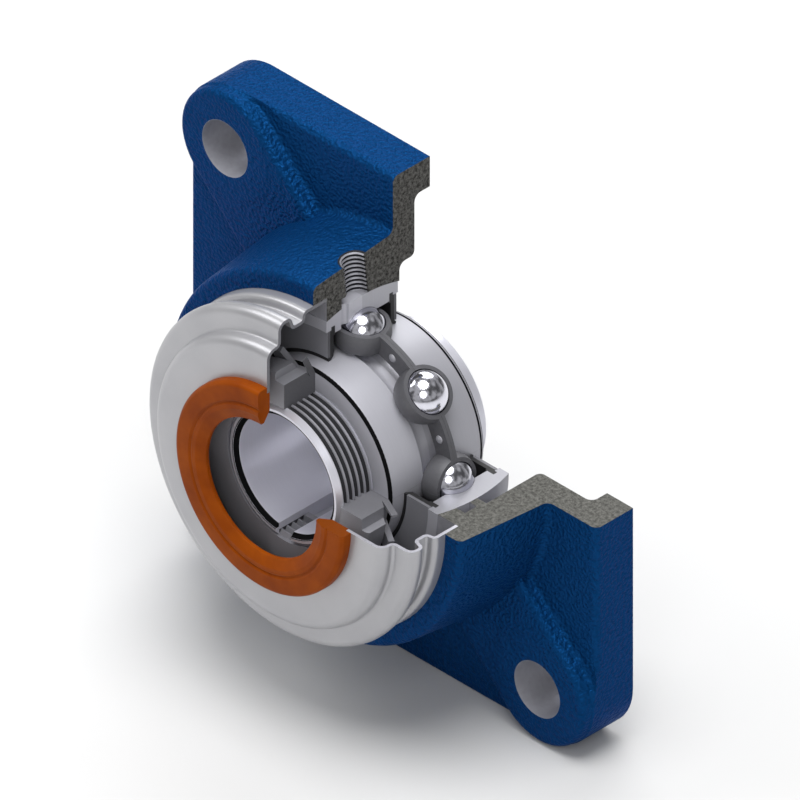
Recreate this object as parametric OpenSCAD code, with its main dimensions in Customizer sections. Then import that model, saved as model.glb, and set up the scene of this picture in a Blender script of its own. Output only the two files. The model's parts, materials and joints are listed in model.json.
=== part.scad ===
// Square flange bearing unit with an adapter sleeve, a lock nut and a pressed end cover.
// One quarter is cut away, as on a display model, so that the balls and the cage show.
// The shaft runs along Y and the cover looks towards -Y. The origin is the centre of the
// spherical seat, on the shaft's axis, about which the insert lines itself up.
// A depth is a distance forwards from the mounting face, towards the cover.
// Lengths are in millimetres and angles in degrees.

/* [Section] */
// Cut one quarter out of the casing, outer ring, seals, nut, washer and cover
quarter_cut = true; // [true, false]

/* [Flange] */
// Side of the square flange
flange_side = 108; // [106:0.5:116]
// Distance between bolt hole centres along a side
bolt_spacing = 83; // [80:0.5:84]
// Diameter of the bolt holes
bolt_hole_d = 12; // [9:0.5:14]
// Width of each bolt boss and of its rib to the hub
rib_w = 24.4; // [22:0.2:25]
// Depth of the boss and rib fronts
boss_depth = 13; // [12.4:0.2:15]
// Height of the bosses above the ribs
boss_seam = 0.05; // [0.02:0.01:0.1]
// Depth of the web between the ribs
web_depth = 9.8; // [9:0.1:10.4]
// Width of the machined rim round the back
rim_w = 6.9; // [5:0.1:8]
// Depth of the recess inside the rim
rim_recess = 4.1; // [3:0.1:5]
// Diameter of the solid pad round each bolt hole at the back
bolt_pad_d = 30; // [26:0.5:33]
// Radius on the outer edges of the casting
edge_r = 1.4; // [0.8:0.1:1.8]
// Radius of the inside corners of the casting
fillet_r = 1.6; // [1:0.1:2]

/* [Hub] */
// Diameter of the hub's front face
hub_d = 78; // [76:0.5:80]
// Depth of the hub's front face
hub_depth = 31; // [30:0.2:32]
// Draft of the hub's wall
hub_draft = 6; // [3:0.5:8]
// Diameter of the counterbore that takes the cover
counterbore_d = 70; // [69:0.2:71]
// Depth of the counterbore's floor
counterbore_depth = 27.4; // [26:0.2:28.4]
// Diameter of the recess behind the seat
back_bore_d = 66.8; // [65:0.2:68]
// Depth of the floor of that recess
back_bore_depth = 8.1; // [7:0.1:8.4]
// Radius on the back edge of that recess
back_bore_edge_r = 1.2; // [0.8:0.1:1.6]
// Width of the two slots through which the insert is swung in
loading_slot_w = 20; // [19.5:0.1:21]
// Depth of the ends of the loading slots
loading_slot_depth = 18.4; // [18:0.1:20]
// Width of the grease groove in the seat
groove_w = 3.1; // [2:0.1:4]
// Depth of the grease groove's middle
groove_depth = 21.9; // [20:0.1:23]
// Diameter at the bottom of the grease groove
groove_d = 65.6; // [63:0.2:67]
// Thread diameter of the grease hole
grease_hole_d = 6; // [5:0.5:8]
// Thread pitch of the grease hole
grease_pitch = 1; // [0.75:0.25:1.25]
// Depth of the grease hole's mouth on the hub
grease_depth = 20.2; // [19:0.1:22]

/* [Insert bearing] */
// Depth of the bearing's middle plane
bearing_depth = 18; // [17.6:0.1:18.4]
// Diameter of the spherical seat
seat_d = 62; // [61:0.2:63]
// Width of the outer ring
outer_ring_w = 19; // [18:0.2:20]
// Height of the outer ring's shoulders above its raceway
outer_shoulder_h = 1.76; // [1.5:0.01:2.1]
// Height of the inner ring's shoulders above its raceway
inner_shoulder_h = 1.86; // [1.5:0.01:2.1]
// Step from the outer ring's shoulders out to its end lips
lip_step = 1; // [0.8:0.05:1.4]
// Thickness of the end lips outside the seal grooves
lip_w = 1.3; // [1:0.1:1.6]
// Width of the seal grooves
seal_groove_w = 1; // [0.8:0.1:1.2]
// Height of the seal grooves outside the end lips
seal_groove_h = 0.7; // [0.5:0.05:0.9]
// Diameter of the grease passage through the outer ring
ring_hole_d = 2; // [1.5:0.1:2.5]
// Distance of the grease passage from the bearing's middle plane
ring_hole_offset = 4.6; // [3.8:0.1:5]
// Width of the inner ring
inner_ring_w = 25; // [24:0.2:26]
// Ball diameter
ball_d = 9.525; // [8.8:0.005:9.8]
// Diameter of the circle through the ball centres
pitch_d = 46; // [45.6:0.1:46.4]
// Radius on the inner ring's outer corners
ring_corner_r = 0.7; // [0.4:0.1:1]
// Radius on the corners of the rings' bores
bore_corner_r = 0.3; // [0.2:0.05:0.4]
// Raceway radius as a share of the ball diameter
raceway_ratio = 0.52; // [0.515:0.005:0.54]
// Number of balls
ball_count = 8; // [6:1:9]

/* [Cage] */
// Gap between the two halves of the cage
cage_gap = 0.04; // [0.02:0.01:0.06]
// Thickness of the cage sheet
cage_t = 0.75; // [0.6:0.05:0.9]
// Distance of the cage from the shoulders of both rings
cage_room = 0.9; // [0.6:0.05:1.2]
// Diameter of the rivet heads
rivet_head_d = 1.7; // [1.4:0.1:2]
// Diameter of the rivet shanks
rivet_shank_d = 1; // [0.8:0.1:1.2]
// Height of the rivet heads
rivet_head_h = 0.4; // [0.3:0.05:0.6]
// Radius on the edges of the rivet heads
rivet_head_r = 0.35; // [0.1:0.05:0.4]

/* [Seals] */
// Thickness of the steel seal plates
seal_plate_t = 0.6; // [0.5:0.05:0.8]
// Thickness of the rubber behind each plate
seal_rubber_t = 0.9; // [0.8:0.05:1.1]
// Distance of the seal plates inside the ring's ends
seal_inset = 0.4; // [0.2:0.05:0.6]
// Radial height of the sealing lip
seal_lip_h = 0.8; // [0.6:0.05:1]
// Thickness of the sealing lip's tip
seal_lip_t = 0.5; // [0.3:0.05:0.6]
// Height of the rubber's foot inside the ring's shoulder
seal_foot_h = 0.5; // [0.3:0.1:0.8]

/* [Adapter sleeve] */
// Shaft diameter
shaft_d = 25; // [24:0.5:26]
// Depth of the sleeve's back end
sleeve_back = 1; // [0.8:0.1:3]
// Depth of the sleeve's threaded end
sleeve_front = 39; // [38.4:0.1:39.6]
// Thread diameter
thread_d = 30; // [29.5:0.1:30.2]
// Thread pitch
thread_pitch = 1.5; // [1:0.25:1.75]
// Taper of the seat in diameter, one in so many
taper = 12; // [11:1:14]
// Radial height of the taper's small end above the thread
taper_step = 0.2; // [0.1:0.05:0.4]
// Width of the slit along the sleeve
slit_w = 4; // [3:0.2:5]
// Size of the chamfers at the sleeve's threaded end
sleeve_chamfer = 0.9; // [0.4:0.1:1.1]
// Size of the chamfers at the sleeve's thick end
sleeve_back_chamfer = 0.5; // [0.2:0.1:0.7]

/* [Lock nut and washer] */
// Outside diameter of the nut
nut_d = 45; // [43:0.5:47]
// Thickness of the nut
nut_t = 7; // [6:0.1:7.4]
// Size of the chamfer on the nut's front edge
nut_chamfer = 0.6; // [0.3:0.1:1]
// Diameter of the nut's flat back inside its large chamfer
nut_seat_d = 38; // [37:0.2:39]
// Slope of that chamfer from the flat back
nut_back_slope = 34.4; // [30:0.2:38]
// Width of the spanner slots
nut_slot_w = 4.8; // [4:0.1:6]
// Depth of the spanner slots
nut_slot_h = 1.9; // [1.4:0.1:2.4]
// Thickness of the lock washer
washer_t = 1.25; // [1:0.05:1.5]
// Diameter of the washer's plain ring
washer_d = 39; // [38.2:0.2:40]
// Diameter over the washer's tabs
washer_tab_d = 48.4; // [46.8:0.2:50]
// Lean of the tabs, forwards round the nut's back chamfer
washer_tab_lean = 25; // [15:1:28]
// Width of a washer tab at its root
washer_tab_w = 3.2; // [2.4:0.1:3.6]
// Width of a washer tab at its tip
washer_tab_tip_w = 2.6; // [1.8:0.1:3]
// Angle of the first tab from the top, towards the cut-away quarter
first_tab_turn = 3.1; // [0:0.1:20]
// Width of the washer's inner tongue
tongue_w = 3.4; // [2.6:0.1:3.8]
// Distance of the tongue's tip from the shaft
tongue_inset = 1; // [0.5:0.1:1.5]
// Number of washer tabs
tab_count = 17; // [11:1:17]

/* [End cover] */
// Depth of the cover's front face
cover_depth = 43.3; // [42.4:0.1:44.5]
// Sheet thickness of the cover
cover_t = 0.7; // [0.5:0.05:1]
// Diameter of the cover's raised front
cover_front_d = 61; // [59:0.2:62]
// Radius on the edge of the raised front
cover_front_r = 2.2; // [1.4:0.1:2.3]
// Depth of the shoulder behind the raised front
cover_step_depth = 40.3; // [39.8:0.1:40.8]
// Diameter over the cover's bead
bead_d = 71.6; // [70.4:0.2:73]
// Depth of the back of the bead
bead_back_depth = 36.9; // [36.7:0.1:37.2]
// Diameter at the bottom of the waist behind the bead
waist_d = 66; // [64.6:0.2:66.2]
// Slope of the bead's side, as its change in radius
bead_slope = 0.6; // [0.2:0.1:0.8]
// Radius of the bead's front edge
bead_edge_r = 2; // [1.2:0.1:2.1]
// Radius of the cover's other outside bends
bend_r = 1.2; // [0.9:0.1:1.3]
// Radius of the cover's inside bends
inside_bend_r = 0.6; // [0.4:0.1:0.8]
// Depth of the front of the waist
waist_front_depth = 36.2; // [36:0.1:36.4]
// Depth of the back of the waist
waist_back_depth = 33.8; // [33.4:0.1:34]
// Diameter of the hole in the cover
cover_hole_d = 42; // [40:0.2:43]
// Outside diameter of the cover's rubber seal
cover_seal_d = 44.6; // [43.8:0.2:46]
// Bore of the cover's rubber seal
cover_seal_bore_d = 29.2; // [28.2:0.2:31]
// Height of the rubber seal above the cover
cover_seal_h = 2.4; // [2:0.1:3]
// Width of the bevel on the rubber seal's inner edge
cover_seal_bevel = 2.2; // [1.5:0.1:2.8]
// Thickness of the rubber seal's inner edge
cover_seal_lip_t = 0.8; // [0.5:0.1:1]
// Radius on the rubber seal's outer edge
cover_seal_edge_r = 1; // [0.6:0.1:1.4]

/* [Clearances] */
// Radial clearance of the outer ring in its spherical seat
seat_gap = 0.05; // [0.02:0.01:0.1]
// Radial clearance between a ball and a raceway
ball_gap = 0.03; // [0.01:0.01:0.08]
// Clearance of a ball in its cage pocket
pocket_gap = 0.15; // [0.1:0.01:0.25]
// Clearance between seal lip and inner ring
lip_gap = 0.06; // [0.03:0.01:0.1]
// Clearance of parts that are pressed, clamped or screwed together
fit_gap = 0.05; // [0.02:0.01:0.08]
// Clearance of the seals in their grooves
seal_gap = 0.1; // [0.05:0.01:0.15]

/* [Hidden] */

$fn = 96;
rivet_sides = 24;
arc_steps = 6;
past = 1;
// Height of the rib fronts above the web, as a multiple of the radius on their edges
step_share = 2.2;

corner_r = (flange_side - bolt_spacing) / 2;
step_r = min(edge_r, (boss_depth - web_depth) / step_share);
rib_length = bolt_spacing * sqrt(2);
ball_step = 360 / ball_count;
outer_shoulder_d = pitch_d + ball_d - 2 * outer_shoulder_h;
inner_ring_d = pitch_d - ball_d + 2 * inner_shoulder_h;
lip_d = outer_shoulder_d + 2 * lip_step;
seal_groove_d = lip_d + 2 * seal_groove_h;
cage_d = outer_shoulder_d - 2 * cage_room;
cage_bore_d = inner_ring_d + 2 * cage_room;
raceway_r = raceway_ratio * ball_d;
outer_race_r = pitch_d / 2 + ball_d / 2 + ball_gap - raceway_r;
inner_race_r = pitch_d / 2 - ball_d / 2 - ball_gap + raceway_r;
ring_front = bearing_depth + outer_ring_w / 2;
inner_front = bearing_depth + inner_ring_w / 2;
inner_back = bearing_depth - inner_ring_w / 2;
taper_front_r = thread_d / 2 + taper_step;
washer_front = inner_front + washer_t;
nut_front = washer_front + nut_t;
// Heights of outside and inside threads, and points on a thread, as shares of the pitch
outside_thread_h = 0.6134;
inside_thread_h = 0.5413;
thread_points = [0.125, 0.4, 0.6, 0.875];
thread_h = outside_thread_h * thread_pitch;
pocket_r = ball_d / 2 + pocket_gap;

// Shape helpers

function unit(v) = v / norm(v);

// Points of a round corner of radius r at p1, between p0 and p2
function corner(p0, p1, p2, r) =
    r <= 0 ? [p1] :
    let (
        a = unit(p0 - p1),
        b = unit(p2 - p1),
        half = acos(max(-1, min(1, a * b))) / 2
    )
    half > 89 ? [p1] :
    let (
        centre = p1 + unit(a + b) * r / sin(half),
        from = p1 + a * r / tan(half) - centre,
        to = p1 + b * r / tan(half) - centre,
        start = atan2(from[1], from[0]),
        turn = atan2(to[1], to[0]) - start,
        sweep = turn > 180 ? turn - 360 : turn < -180 ? turn + 360 : turn
    )
    [for (i = [0 : arc_steps])
        centre + r * [cos(start + sweep * i / arc_steps), sin(start + sweep * i / arc_steps)]];

function flat(p) = [p[0], p[1]];

// A closed outline from points [x, y, corner radius]
function rounded(points) =
    let (n = len(points))
    [for (i = [0 : n - 1])
        each corner(flat(points[(i + n - 1) % n]), flat(points[i]), flat(points[(i + 1) % n]),
                    points[i][2])];

// An open path from points [x, y, corner radius]
function rounded_path(points) =
    let (n = len(points))
    concat(
        [flat(points[0])],
        [for (i = [1 : n - 2])
            each corner(flat(points[i - 1]), flat(points[i]), flat(points[i + 1]), points[i][2])],
        [flat(points[n - 1])]
    );

// The direction square to a path at point i, on its right-hand side
function right_of(path, i) =
    let (
        n = len(path),
        before = i > 0 ? unit(path[i] - path[i - 1]) : unit(path[1] - path[0]),
        after = i < n - 1 ? unit(path[i + 1] - path[i]) : unit(path[n - 1] - path[n - 2]),
        way = unit(before + after)
    )
    [way[1], -way[0]] / max(0.5, way * before);

// The section of a sheet of thickness t that lies on the right of a path
function sheet(path, t) =
    concat(path, [for (i = [len(path) - 1 : -1 : 0]) path[i] + t * right_of(path, i)]);

// Lays the depth axis, modelled along +Z, forwards along the shaft
module stand() {
    translate([0, bearing_depth, 0]) rotate([90, 0, 0]) children();
}

module sectioned() {
    difference() {
        children();
        if (quarter_cut) {
            translate([0, 0, -past]) cube([flange_side, flange_side, 2 * cover_depth]);
        }
    }
}

// Copies a piece to the far side of the bearing's middle plane
module mirrored_in_depth() {
    translate([0, 0, bearing_depth]) mirror([0, 0, 1]) translate([0, 0, -bearing_depth]) children();
}

module tube(outer_d, inner_d, from, to) {
    difference() {
        translate([0, 0, from]) cylinder(d = outer_d, h = to - from);
        translate([0, 0, from - past]) cylinder(d = inner_d, h = to - from + 2 * past);
    }
}

// Runs a section, drawn with depth as y, along the x axis
module run_along_x(length) {
    rotate([90, 0, 90]) linear_extrude(length, center = true) children();
}

module at_bolts() {
    for (x = [-1, 1], y = [-1, 1]) {
        translate([x * bolt_spacing / 2, y * bolt_spacing / 2, 0]) children();
    }
}

// Casting

function hub_r(depth) = hub_d / 2 + (hub_depth - depth) * tan(hub_draft);

// Half of a plate with a rounded front edge
function plate_half(half_w) =
    rounded([[0, 0, 0], [half_w, 0, 0], [half_w, web_depth, edge_r], [0, web_depth, 0]]);

// Half of a rib with a rounded front edge and a fillet at its foot
function rib_half(front) =
    rounded([
        [0, 0, 0],
        [rib_w / 2 + fillet_r, 0, 0],
        [rib_w / 2 + 2 * step_r, web_depth, 0],
        [rib_w / 2, web_depth, step_r],
        [rib_w / 2, front, step_r],
        [0, front, 0]
    ]);

module both_halves() {
    children();
    mirror([1, 0]) children();
}

module web_plate() {
    for (turn = [0, 90]) {
        rotate(turn) run_along_x(bolt_spacing) both_halves() polygon(plate_half(flange_side / 2));
    }
    at_bolts() rotate_extrude() polygon(plate_half(corner_r));
}

// The bosses stand a seam proud of the ribs, as faced pads do
module ribs_and_bosses() {
    intersection() {
        union() {
            for (turn = [45, -45]) {
                rotate(turn) run_along_x(rib_length) both_halves()
                    polygon(rib_half(boss_depth - boss_seam));
            }
            at_bolts() rotate_extrude() polygon(rib_half(boss_depth));
        }
        union() {
            for (turn = [0, 90]) {
                rotate(turn) translate([-flange_side / 2, -bolt_spacing / 2, 0])
                    cube([flange_side, bolt_spacing, boss_depth + past]);
            }
            at_bolts() cylinder(r = corner_r, h = boss_depth + past);
        }
    }
}

module hub() {
    rotate_extrude() polygon(rounded([
        [0, 0, 0],
        [hub_r(0), 0, 0],
        [hub_r(web_depth) + 2 * fillet_r, web_depth, 0],
        [hub_r(web_depth), web_depth, fillet_r],
        [hub_r(hub_depth), hub_depth, edge_r],
        [0, hub_depth, 0]
    ]));
}

// The shallow square recess in the back, with pads left round the bolt holes
module back_recess() {
    half = flange_side / 2 - rim_w;
    section = rounded([[0, -past, 0], [half, -past, 0], [half, rim_recess, fillet_r],
                       [0, rim_recess, 0]]);
    difference() {
        intersection() {
            run_along_x(flange_side) both_halves() polygon(section);
            rotate(90) run_along_x(flange_side) both_halves() polygon(section);
        }
        at_bolts() translate([0, 0, -2 * past]) cylinder(d = bolt_pad_d, h = hub_depth);
        for (turn = [0 : 90 : 270]) {
            rotate(turn) translate([bolt_spacing / 2, bolt_spacing / 2, -2 * past])
                cube([flange_side, flange_side, hub_depth]);
        }
    }
}

module seat_and_bores() {
    // Spherical seat of the outer ring
    intersection() {
        translate([0, 0, bearing_depth]) sphere(d = seat_d);
        translate([0, 0, back_bore_depth - past])
            cylinder(d = seat_d + past, h = counterbore_depth - back_bore_depth + 2 * past);
    }
    rotate_extrude() polygon(rounded([
        [0, -past, 0],
        [back_bore_d / 2 + fillet_r, -past, 0],
        [back_bore_d / 2 + fillet_r, rim_recess, 0],
        [back_bore_d / 2, rim_recess, back_bore_edge_r],
        [back_bore_d / 2, back_bore_depth, fillet_r],
        [0, back_bore_depth, 0]
    ]));
    translate([0, 0, counterbore_depth]) cylinder(d = counterbore_d, h = hub_depth);
    translate([0, 0, groove_depth - groove_w / 2]) cylinder(d = groove_d, h = groove_w);
    // Loading slots
    intersection() {
        translate([0, 0, -past]) cylinder(d = back_bore_d, h = loading_slot_depth + past);
        cube([flange_side, loading_slot_w, 2 * loading_slot_depth], center = true);
    }
}

// The tapped grease hole, square to the hub's wall, with its thread as rings
module grease_hole() {
    major_r = grease_hole_d / 2;
    minor_r = major_r - inside_thread_h * grease_pitch;
    turns = ceil((hub_r(grease_depth) - seat_d / 2) / grease_pitch) + 1;
    crests = [for (i = [0 : turns], side = [0, 1])
        [side == 0 ? major_r : minor_r, -grease_pitch * (i + side / 2)]];
    translate([0, hub_r(grease_depth), grease_depth]) rotate([hub_draft - 90, 0, 0])
        rotate_extrude() polygon(concat(
            [[0, past], [major_r, past]],
            crests,
            [[0, -grease_pitch * (turns + 0.5)]]
        ));
}

module housing() {
    color("royalblue") stand() sectioned() difference() {
        union() {
            web_plate();
            ribs_and_bosses();
            hub();
        }
        back_recess();
        seat_and_bores();
        at_bolts() translate([0, 0, -past]) cylinder(d = bolt_hole_d, h = boss_depth + 2 * past);
        grease_hole();
    }
}

// Insert bearing

module outer_ring() {
    color("lightsteelblue") stand() sectioned() difference() {
        intersection() {
            translate([0, 0, bearing_depth]) sphere(d = seat_d - 2 * seat_gap);
            translate([0, 0, bearing_depth - outer_ring_w / 2])
                cylinder(d = seat_d, h = outer_ring_w);
        }
        translate([0, 0, -past]) cylinder(d = outer_shoulder_d, h = hub_depth);
        outer_ring_end();
        mirrored_in_depth() outer_ring_end();
        rotate_extrude() translate([outer_race_r, bearing_depth]) circle(r = raceway_r);
        translate([0, 0, bearing_depth + ring_hole_offset]) rotate([-90, 0, 0])
            cylinder(d = ring_hole_d, h = seat_d);
    }
}

module outer_ring_end() {
    translate([0, 0, ring_front - lip_w - past / 2]) cylinder(d = lip_d, h = lip_w + past);
    translate([0, 0, ring_front - lip_w - seal_groove_w]) cylinder(d = seal_groove_d, h = seal_groove_w);
}

// Radius of the tapered seat at a depth
function taper_r(depth) = taper_front_r + (inner_front - depth) / taper / 2;

module inner_ring() {
    color("silver") stand() difference() {
        rotate_extrude() polygon(rounded([
            [taper_r(inner_back) + fit_gap, inner_back, bore_corner_r],
            [inner_ring_d / 2, inner_back, ring_corner_r],
            [inner_ring_d / 2, inner_front, ring_corner_r],
            [taper_r(inner_front) + fit_gap, inner_front, bore_corner_r]
        ]));
        rotate_extrude() translate([inner_race_r, bearing_depth]) circle(r = raceway_r);
    }
}

module at_ball(i) {
    rotate(-ball_step * i) translate([0, pitch_d / 2, bearing_depth]) children();
}

module ball(i) {
    color("whitesmoke") stand() at_ball(i - 1) sphere(d = ball_d);
}

// One pressed half of the cage: flat bars between round pockets, in front of the middle plane
module cage_half() {
    difference() {
        intersection() {
            union() {
                translate([0, 0, bearing_depth]) cylinder(d = cage_d, h = cage_t + cage_gap / 2);
                for (i = [0 : ball_count - 1]) {
                    at_ball(i) sphere(r = pocket_r + cage_t);
                }
            }
            tube(cage_d, cage_bore_d, bearing_depth + cage_gap / 2, bearing_depth + ball_d);
        }
        for (i = [0 : ball_count - 1]) {
            at_ball(i) sphere(r = pocket_r);
            at_rivet(i) cylinder(d = rivet_shank_d + 2 * fit_gap, h = 4 * cage_t, center = true);
        }
    }
}

module at_rivet(i) {
    rotate(-ball_step * (i + 0.5)) translate([0, (cage_d + cage_bore_d) / 4, bearing_depth])
        children();
}

module cage_front() {
    color("dimgray") stand() cage_half();
}

module cage_back() {
    color("dimgray") stand() mirrored_in_depth() cage_half();
}

module rivet_profile() {
    grip = cage_t + cage_gap / 2;
    polygon(rounded([
        [0, -grip - rivet_head_h, 0],
        [rivet_head_d / 2, -grip - rivet_head_h, rivet_head_r],
        [rivet_head_d / 2, -grip, 0],
        [rivet_shank_d / 2, -grip, 0],
        [rivet_shank_d / 2, grip, 0],
        [rivet_head_d / 2, grip, 0],
        [rivet_head_d / 2, grip + rivet_head_h, rivet_head_r],
        [0, grip + rivet_head_h, 0]
    ]));
}

module cage_rivets() {
    color("gray") stand() for (i = [0 : ball_count - 1]) {
        at_rivet(i) rotate_extrude($fn = rivet_sides) rivet_profile();
    }
}

// Seals, drawn for the front side

plate_front = ring_front - seal_inset;
rubber_front = plate_front - seal_plate_t;
rubber_back = rubber_front - seal_rubber_t;
lip_tip_r = inner_ring_d / 2 + lip_gap;

module seal_plate() {
    tube(lip_d - 2 * seal_gap, 2 * (lip_tip_r + seal_lip_h), rubber_front, plate_front);
}

module seal_rubber() {
    groove_back = ring_front - lip_w - seal_groove_w + seal_gap / 2;
    groove_front = ring_front - lip_w - seal_gap / 2;
    rotate_extrude() polygon([
        [lip_tip_r, rubber_front + seal_lip_t],
        [lip_tip_r, rubber_front],
        [lip_tip_r + seal_lip_h, rubber_back],
        [outer_shoulder_d / 2 - seal_foot_h, rubber_back],
        [outer_shoulder_d / 2 - seal_foot_h, groove_back],
        [seal_groove_d / 2 - seal_gap, groove_back],
        [seal_groove_d / 2 - seal_gap, groove_front],
        [lip_d / 2 - seal_gap, groove_front],
        [lip_d / 2 - seal_gap, rubber_front],
        [lip_tip_r + seal_lip_h, rubber_front],
        [lip_tip_r + seal_lip_h / 2, rubber_front + seal_lip_t]
    ]);
}

module front_seal_plate() {
    color("slategray") stand() sectioned() seal_plate();
}

module front_seal_rubber() {
    color("black") stand() sectioned() seal_rubber();
}

module back_seal_plate() {
    color("slategray") stand() sectioned() mirrored_in_depth() seal_plate();
}

module back_seal_rubber() {
    color("black") stand() sectioned() mirrored_in_depth() seal_rubber();
}

// Adapter sleeve, nut and washer

// The thread as rings: points from the front end back to the taper, moved outwards by gap
thread_start = sleeve_front - sleeve_chamfer;
thread_turns = floor((thread_start - inner_front) / thread_pitch);

function thread_line(gap) =
    [for (i = [0 : thread_turns - 1], part = [0 : 3])
        let (
            crest = thread_d / 2,
            root = thread_d / 2 - thread_h,
            r = (part == 0 || part == 3) ? crest : root,
            back = thread_pitch * (i + thread_points[part])
        )
        [r + gap, thread_start - back]];

module adapter_sleeve() {
    bore_r = shaft_d / 2;
    color("lightgray") stand() difference() {
        rotate_extrude() polygon(concat(
            [[bore_r, sleeve_back + sleeve_back_chamfer], [bore_r, thread_start],
             [bore_r + sleeve_chamfer, sleeve_front],
             [thread_d / 2 - sleeve_chamfer, sleeve_front], [thread_d / 2, thread_start]],
            thread_line(0),
            [[thread_d / 2, inner_front], [taper_r(inner_front), inner_front],
             [taper_r(sleeve_back), sleeve_back + sleeve_back_chamfer],
             [taper_r(sleeve_back) - sleeve_back_chamfer, sleeve_back],
             [bore_r + sleeve_back_chamfer, sleeve_back]]
        ));
        translate([-slit_w / 2, -thread_d, -past]) cube([slit_w, thread_d, sleeve_front + 2 * past]);
    }
}

module lock_nut() {
    nut_r = nut_d / 2;
    color("dimgray") stand() sectioned() difference() {
        rotate_extrude() polygon([
            [thread_d / 2 - thread_h, washer_front],
            [nut_seat_d / 2, washer_front],
            [nut_r, washer_front + (nut_r - nut_seat_d / 2) * tan(nut_back_slope)],
            [nut_r, nut_front - nut_chamfer / 2],
            [nut_r - nut_chamfer, nut_front],
            [thread_d / 2 - thread_h, nut_front]
        ]);
        rotate_extrude() polygon(concat(
            [[0, sleeve_front + past], [thread_d / 2 + fit_gap, sleeve_front + past],
             [thread_d / 2 + fit_gap, thread_start]],
            thread_line(fit_gap * 2),
            [[thread_d / 2 + fit_gap, inner_front], [0, inner_front]]
        ));
        for (turn = [0 : 90 : 270]) {
            rotate(turn) translate([-nut_slot_w / 2, nut_r - nut_slot_h, washer_front - past])
                cube([nut_slot_w, nut_slot_h + past, nut_t + 2 * past]);
        }
    }
}

module lock_washer() {
    color("dimgray") stand() sectioned() {
        difference() {
            union() {
                translate([0, 0, inner_front]) cylinder(d = washer_d, h = washer_t);
                for (i = [0 : tab_count - 1]) {
                    rotate(-first_tab_turn - i * 360 / tab_count) leaning_tab();
                }
            }
            translate([0, 0, inner_front - past])
                cylinder(d = thread_d + 2 * fit_gap, h = washer_t + 2 * past);
        }
        tongue();
    }
}

// A tab that leans forwards from the washer's rim and narrows to its tip
module leaning_tab() {
    root_r = thread_d / 2 + past;
    fold_r = washer_d / 2;
    tip_r = washer_tab_d / 2;
    tip_depth = inner_front + (tip_r - fold_r) * tan(washer_tab_lean);
    intersection() {
        rotate([0, -90, 0]) linear_extrude(washer_tab_w + past, center = true) polygon([
            [inner_front, root_r],
            [inner_front, fold_r],
            [tip_depth, tip_r],
            [tip_depth + washer_t * cos(washer_tab_lean), tip_r - washer_t * sin(washer_tab_lean)],
            [washer_front, fold_r - washer_t * tan(washer_tab_lean / 2)],
            [washer_front, root_r]
        ]);
        translate([0, 0, inner_front - past]) linear_extrude(nut_t) polygon([
            [-washer_tab_w / 2, 0], [washer_tab_w / 2, 0],
            [washer_tab_w / 2, fold_r], [washer_tab_tip_w / 2, tip_r + past],
            [-washer_tab_tip_w / 2, tip_r + past], [-washer_tab_w / 2, fold_r]
        ]);
    }
}

// The inner tongue that keys the washer to the slit in the sleeve
module tongue() {
    root_r = (thread_d + washer_d) / 4;
    translate([-tongue_w / 2, -root_r, inner_front])
        cube([tongue_w, root_r - shaft_d / 2 - tongue_inset, washer_t]);
}

// End cover

cover_rim_r = counterbore_d / 2 - fit_gap;
cover_line = rounded_path([
    [cover_hole_d / 2, cover_depth, 0],
    [cover_front_d / 2, cover_depth, cover_front_r],
    [cover_front_d / 2, cover_step_depth, inside_bend_r],
    [bead_d / 2, cover_step_depth, bead_edge_r],
    [bead_d / 2 - bead_slope, bead_back_depth, bend_r],
    [waist_d / 2, waist_front_depth, inside_bend_r],
    [waist_d / 2, waist_back_depth, inside_bend_r],
    [cover_rim_r, waist_back_depth, bend_r],
    [cover_rim_r, counterbore_depth, 0]
]);

module end_cover() {
    color("gainsboro") stand() sectioned()
        rotate_extrude() polygon(sheet(cover_line, cover_t));
}

module cover_seal() {
    outer_r = cover_seal_d / 2;
    inner_r = cover_seal_bore_d / 2;
    edge = cover_hole_d / 2 - fit_gap;
    front = cover_depth + cover_seal_h;
    lip_depth = cover_depth + cover_seal_h / 2;
    lip_r = cover_seal_lip_t / 3;
    color("chocolate") stand() sectioned() rotate_extrude() polygon(rounded([
        [inner_r, lip_depth - cover_seal_lip_t / 2, lip_r],
        [inner_r, lip_depth + cover_seal_lip_t / 2, lip_r],
        [inner_r + cover_seal_bevel, front, cover_seal_edge_r],
        [outer_r, front, cover_seal_edge_r],
        [outer_r, cover_depth, 0],
        [edge, cover_depth, 0],
        [edge, cover_depth - cover_t, 0],
        [inner_r + cover_seal_bevel, cover_depth - cover_t, cover_seal_edge_r]
    ]));
}

housing();
outer_ring();
inner_ring();
for (i = [1 : ball_count]) {
    ball(i);
}
cage_front();
cage_back();
cage_rivets();
front_seal_plate();
front_seal_rubber();
back_seal_plate();
back_seal_rubber();
adapter_sleeve();
lock_washer();
lock_nut();
end_cover();
cover_seal();
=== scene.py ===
"""Square flange bearing, cut open by a quarter: finishes, fine parts, light and camera.

Lengths are in millimetres and become metres through MM. The shaft runs along Y, the cover
looks towards -Y, and the origin is the centre of the bearing.
"""

import json
from math import atan2, cos, pi, radians, sin, tan

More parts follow.
